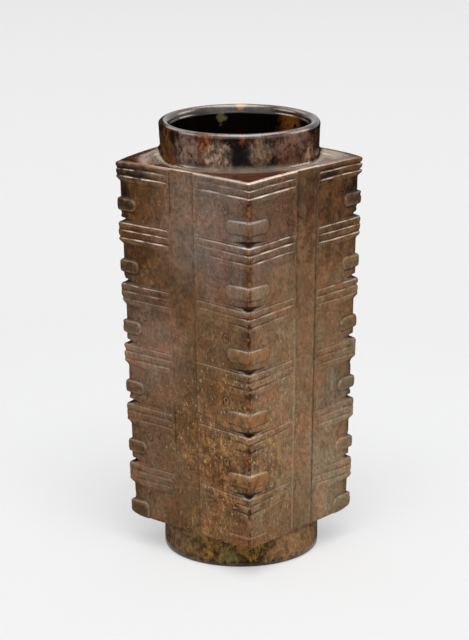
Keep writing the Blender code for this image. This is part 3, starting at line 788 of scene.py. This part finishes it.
    # Fine grain, and the pitted patches of the collar
    relief_height = g.math("ADD", times(fibre, 0.03), times(grit, 0.05))
    pits = times(g.noise(place, 0.9, 4.0, 0.65), times(g.math("ADD", rough_patch, 0.12), 0.25))
    relief_height = g.math("ADD", relief_height, pits)
    relief_height = g.math("SUBTRACT", relief_height, times(incised, 0.16))
    bump = g.node("ShaderNodeBump", {"Height": relief_height, "Strength": 1.0, "Distance": 0.001})
    g.feed(g.shader.inputs["Normal"], bump.outputs["Normal"])
    return g.material


mesh.materials.append(stone_material())
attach(cong, "root")
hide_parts("cong_tube")


# Floor, light and camera
PAPER_SHARE = 0.42  # how much of the paper shines by itself where it is seen


def floor_material():
    """Pale paper: it keeps the shadow, and shows bright to the camera and in the polish."""
    g = Graph("pale_floor")
    place = g.node("ShaderNodeTexCoord").outputs["Object"]
    away = g.vector("LENGTH", place, output="Value")
    shade = g.mix(g.span(away, 0.12, 0.4), (0.93, 0.932, 0.936), (0.89, 0.89, 0.89))
    shade = g.mix(g.span(away, 0.5, 3.0), shade, (0.8, 0.8, 0.8))
    g.feed(g.shader.inputs["Base Color"], shade)
    g.shader.inputs["Roughness"].default_value = 0.9
    g.shader.inputs["Specular IOR Level"].default_value = 0.0
    path = g.node("ShaderNodeLightPath").outputs
    bounced = g.math("MAXIMUM", path["Is Glossy Ray"], path["Is Transmission Ray"])
    seen = g.math("MULTIPLY", g.math("MAXIMUM", path["Is Camera Ray"], bounced), PAPER_SHARE)
    paper = g.node("ShaderNodeEmission", {"Color": shade, "Strength": 1.0}).outputs[0]
    blend = g.node("ShaderNodeMixShader", {0: seen, 1: g.shader.outputs[0], 2: paper}).outputs[0]
    g.tree.links.new(blend, g.tree.nodes["Material Output"].inputs["Surface"])
    return g.material


bpy.ops.mesh.primitive_plane_add(size=40.0, location=(0.0, 0.0, 0.0))
floor = bpy.context.active_object
floor.name = "floor"
floor.data.materials.append(floor_material())

# A dark screen on the far floor and behind the object, seen only in the polish of the stone; in metres
FAR_BEARING, SCREEN_HALF = 131.0, 105.0
SCREEN_INNER, SCREEN_OUTER, SCREEN_LIFT = 0.0345, 6.0, 0.001
SCREEN_RADIUS, SCREEN_TOP, SCREEN_EXTRA, EXTRA_FROM = 0.066, 0.1872, 0.025, (26.0, 36.0)


def bent_line(radius, height, turns):
    return [(radius * math.cos(turn), radius * math.sin(turn), height) for turn in turns]


screen_mesh = bpy.data.meshes.new("screen")
steps = 64
bearings = np.radians(np.linspace(0.0, 360.0, steps))
back_line = np.linspace(FAR_BEARING - SCREEN_HALF, FAR_BEARING + SCREEN_HALF, steps)
inner_line = bent_line(SCREEN_INNER, SCREEN_LIFT, bearings)
outer_line = bent_line(SCREEN_OUTER, SCREEN_LIFT, bearings)
wall_foot = bent_line(SCREEN_RADIUS, 0.0, np.radians(back_line))
extra = smooth(FAR_BEARING + EXTRA_FROM[0], FAR_BEARING + EXTRA_FROM[1], back_line)
wall_tops = SCREEN_TOP + SCREEN_EXTRA * extra
wall_head = [(place[0], place[1], float(top)) for place, top in zip(wall_foot, wall_tops)]
strips = [(i, i + steps, i + steps + 1, i + 1) for i in range(steps - 1)]
strips += [tuple(corner + 2 * steps for corner in strip) for strip in strips]
screen_mesh.from_pydata(inner_line + outer_line + wall_foot + wall_head, [], strips)
screen = bpy.data.objects.new("screen", screen_mesh)
bpy.context.collection.objects.link(screen)
dark_cloth = Graph("dark_cloth")
dark_cloth.shader.inputs["Base Color"].default_value = (0.02, 0.02, 0.02, 1.0)
dark_cloth.shader.inputs["Roughness"].default_value = 1.0
screen_mesh.materials.append(dark_cloth.material)
screen.visible_camera = False
screen.visible_diffuse = False
screen.visible_shadow = False

# A white world: plain light on the object, brighter where it is seen, also in the polish
SKY_LIGHT, SKY_SEEN = 0.44, 0.88
world = bpy.data.worlds.new("studio")
bpy.context.scene.world = world
world.use_nodes = True
sky_nodes, sky_links = world.node_tree.nodes, world.node_tree.links
sky = sky_nodes["Background"]
sky.inputs["Color"].default_value = (1.0, 1.0, 1.0, 1.0)
path = sky_nodes.new("ShaderNodeLightPath")
through, seen = (sky_nodes.new("ShaderNodeMath") for _ in range(2))
through.operation = seen.operation = "MAXIMUM"
level_of_sky = sky_nodes.new("ShaderNodeMapRange")
level_of_sky.inputs["To Min"].default_value = SKY_LIGHT
level_of_sky.inputs["To Max"].default_value = SKY_SEEN
for source, target in (
    (path.outputs["Is Glossy Ray"], through.inputs[0]),
    (path.outputs["Is Transmission Ray"], through.inputs[1]),
    (path.outputs["Is Camera Ray"], seen.inputs[0]),
    (through.outputs[0], seen.inputs[1]),
    (seen.outputs[0], level_of_sky.inputs["Value"]),
    (level_of_sky.outputs["Result"], sky.inputs["Strength"]),
):
    sky_links.new(source, target)


def sun(name, direction, strength, angle, colour=(1.0, 1.0, 1.0)):
    light = bpy.data.lights.new(name, "SUN")
    light.energy = strength
    light.color = colour
    light.angle = math.radians(angle)
    lamp = bpy.data.objects.new(name, light)
    lamp.rotation_euler = Vector(direction).to_track_quat("Z", "Y").to_euler()
    bpy.context.collection.objects.link(lamp)
    return lamp


sun("top", (0.34, -0.3, 1.0), 1.3, 44.0)
sun("front", (0.2, -0.85, 0.55), 0.45, 60.0)
sun("side", (0.9, -0.3, 0.5), 0.5, 50.0)
# Warm lamps that only the polish shows
WARM = (1.0, 0.9, 0.8)
for name, direction, strength, angle in (
    ("gleam_right", (0.42, 0.72, 0.55), 1.5, 32.0),
    ("gleam_left", (-0.63, -0.52, 0.58), 1.5, 32.0),
    ("gleam_rim", (-0.72, 0.16, 0.64), 0.6, 30.0),
    ("gleam_top", (0.06, -0.07, 1.0), 4.0, 50.0),
    ("gleam_back", (-0.14, 0.347, 0.927), 2.2, 36.0),
):
    sun(name, direction, strength, angle, WARM).visible_diffuse = False

# The photograph's camera: lengths in units of HEIGHT, focal length in the photograph's pixels
HEIGHT = 186.4 * MM
AZIMUTH, ELEVATION, ROLL = math.radians(41.02), math.radians(15.17), math.radians(-0.313)
DISTANCE, AIM_UP, AIM_LEFT = 4.894, 0.5342, 0.0133
FOCAL_PIXELS, PHOTO_PIXELS, SENSOR = 2141.4, 640.0, 36.0
level_out = math.cos(ELEVATION)
back = Vector((math.sin(AZIMUTH) * level_out, -math.cos(AZIMUTH) * level_out, math.sin(ELEVATION)))
right = Vector((math.cos(AZIMUTH), math.sin(AZIMUTH), 0.0))
upward = back.cross(right)
across = right * math.cos(ROLL) + upward * math.sin(ROLL)
above_axis = upward * math.cos(ROLL) - right * math.sin(ROLL)
target = Vector((0.0, 0.0, AIM_UP * HEIGHT)) - right * AIM_LEFT * HEIGHT
camera_data = bpy.data.cameras.new("camera")
camera_data.sensor_fit = "VERTICAL"
camera_data.sensor_height = SENSOR
camera_data.lens = FOCAL_PIXELS / PHOTO_PIXELS * SENSOR
camera_data.clip_start = 0.01
camera = bpy.data.objects.new("camera", camera_data)
turn = Matrix((across, above_axis, back)).transposed().to_4x4()
camera.matrix_world = Matrix.Translation(target + back * DISTANCE * HEIGHT) @ turn
bpy.context.collection.objects.link(camera)
bpy.context.scene.camera = camera
bpy.context.scene.view_settings.view_transform = "Standard"
